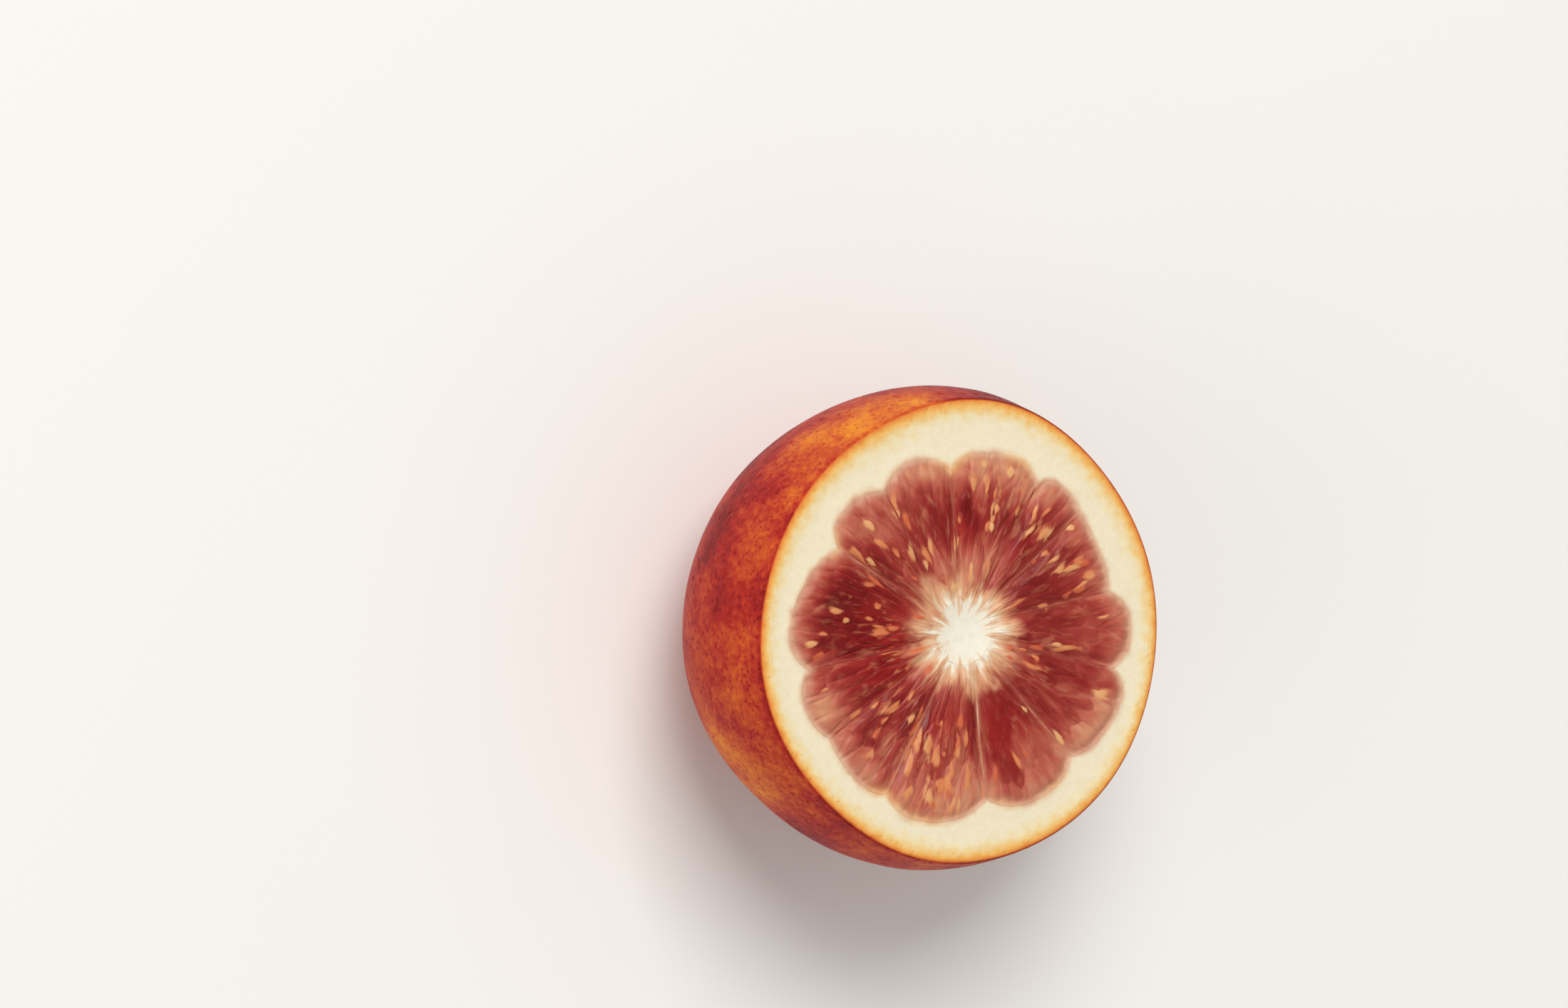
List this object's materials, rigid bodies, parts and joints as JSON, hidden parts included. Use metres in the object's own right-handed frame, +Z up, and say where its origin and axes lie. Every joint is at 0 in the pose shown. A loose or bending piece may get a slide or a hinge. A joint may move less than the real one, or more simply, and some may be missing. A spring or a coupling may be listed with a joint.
{
  "type": "blood orange half",
  "caption": "Halved blood orange with mottled rind, pale pith and scalloped dark red flesh, lying cut face up on its rind.",
  "frame": {"origin": "middle of the small flat spot underneath that it rests on", "axes": "+Z up, out of the cut face; the picture looks down from the -X side, about 30 degrees from +Z"},
  "size_m": [0.0718, 0.0728, 0.0453],
  "materials": {
    "rind": "waxy orange peel, flushed crimson, with fine oil glands",
    "pith": "dull and spongy, cream white",
    "flesh": "wet juice sacs, maroon with golden flecks"
  },
  "bodies": {
    "root": {"blood_orange_half": "rind"}
  },
  "joints": []
}
